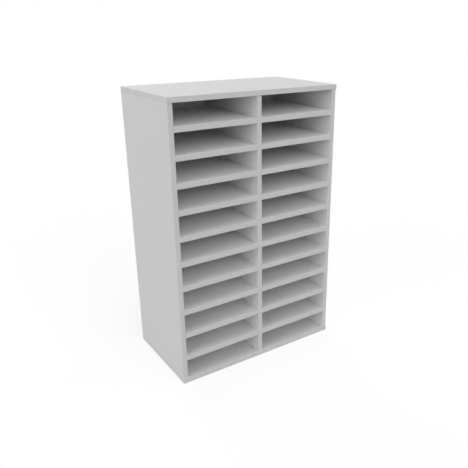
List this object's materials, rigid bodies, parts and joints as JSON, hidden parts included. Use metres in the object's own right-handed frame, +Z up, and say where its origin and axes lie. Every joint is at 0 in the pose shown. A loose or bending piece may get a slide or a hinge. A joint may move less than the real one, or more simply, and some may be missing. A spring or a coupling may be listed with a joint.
{
  "type": "pigeonhole mail sorter",
  "caption": "Upright mail sorter: a board carcass with a centre divider and fixed shelves, forming two columns of wide, low pigeonholes that are open at the front.",
  "frame": {"origin": "middle of the footprint, on the surface that the base stands on", "axes": "+Z up along the height, +Y from the open front to the back panel, +X to the right for someone who faces the openings"},
  "size_m": [0.6, 0.335, 0.9103],
  "materials": {
    "board": "matte",
    "edging": "satin",
    "back_sheet": "matte",
    "dowel": "matte",
    "staple": "satin"
  },
  "bodies": {
    "root": {"back_panel": "back_sheet", "back_staples": "staple", "base_dowels": "dowel", "base_front_edging": "edging", "base_left_edging": "edging", "base_panel": "board", "base_right_edging": "edging", "centre_divider": "board", "divider_edging": "edging", "left_side": "board", "left_side_edging": "edging", "right_side": "board", "right_side_edging": "edging", "shelf_left_01": "board", "shelf_left_01_edging": "edging", "shelf_left_02": "board", "shelf_left_02_edging": "edging", "shelf_left_03": "board", "shelf_left_03_edging": "edging", "shelf_left_04": "board", "shelf_left_04_edging": "edging", "shelf_left_05": "board", "shelf_left_05_edging": "edging", "shelf_left_06": "board", "shelf_left_06_edging": "edging", "shelf_left_07": "board", "shelf_left_07_edging": "edging", "shelf_left_08": "board", "shelf_left_08_edging": "edging", "shelf_left_09": "board", "shelf_left_09_edging": "edging", "shelf_left_10": "board", "shelf_left_10_edging": "edging", "shelf_right_01": "board", "shelf_right_01_edging": "edging", "shelf_right_02": "board", "shelf_right_02_edging": "edging", "shelf_right_03": "board", "shelf_right_03_edging": "edging", "shelf_right_04": "board", "shelf_right_04_edging": "edging", "shelf_right_05": "board", "shelf_right_05_edging": "edging", "shelf_right_06": "board", "shelf_right_06_edging": "edging", "shelf_right_07": "board", "shelf_right_07_edging": "edging", "shelf_right_08": "board", "shelf_right_08_edging": "edging", "shelf_right_09": "board", "shelf_right_09_edging": "edging", "shelf_right_10": "board", "shelf_right_10_edging": "edging", "top_dowels": "dowel", "top_front_edging": "edging", "top_left_edging": "edging", "top_panel": "board", "top_right_edging": "edging"}
  },
  "joints": []
}
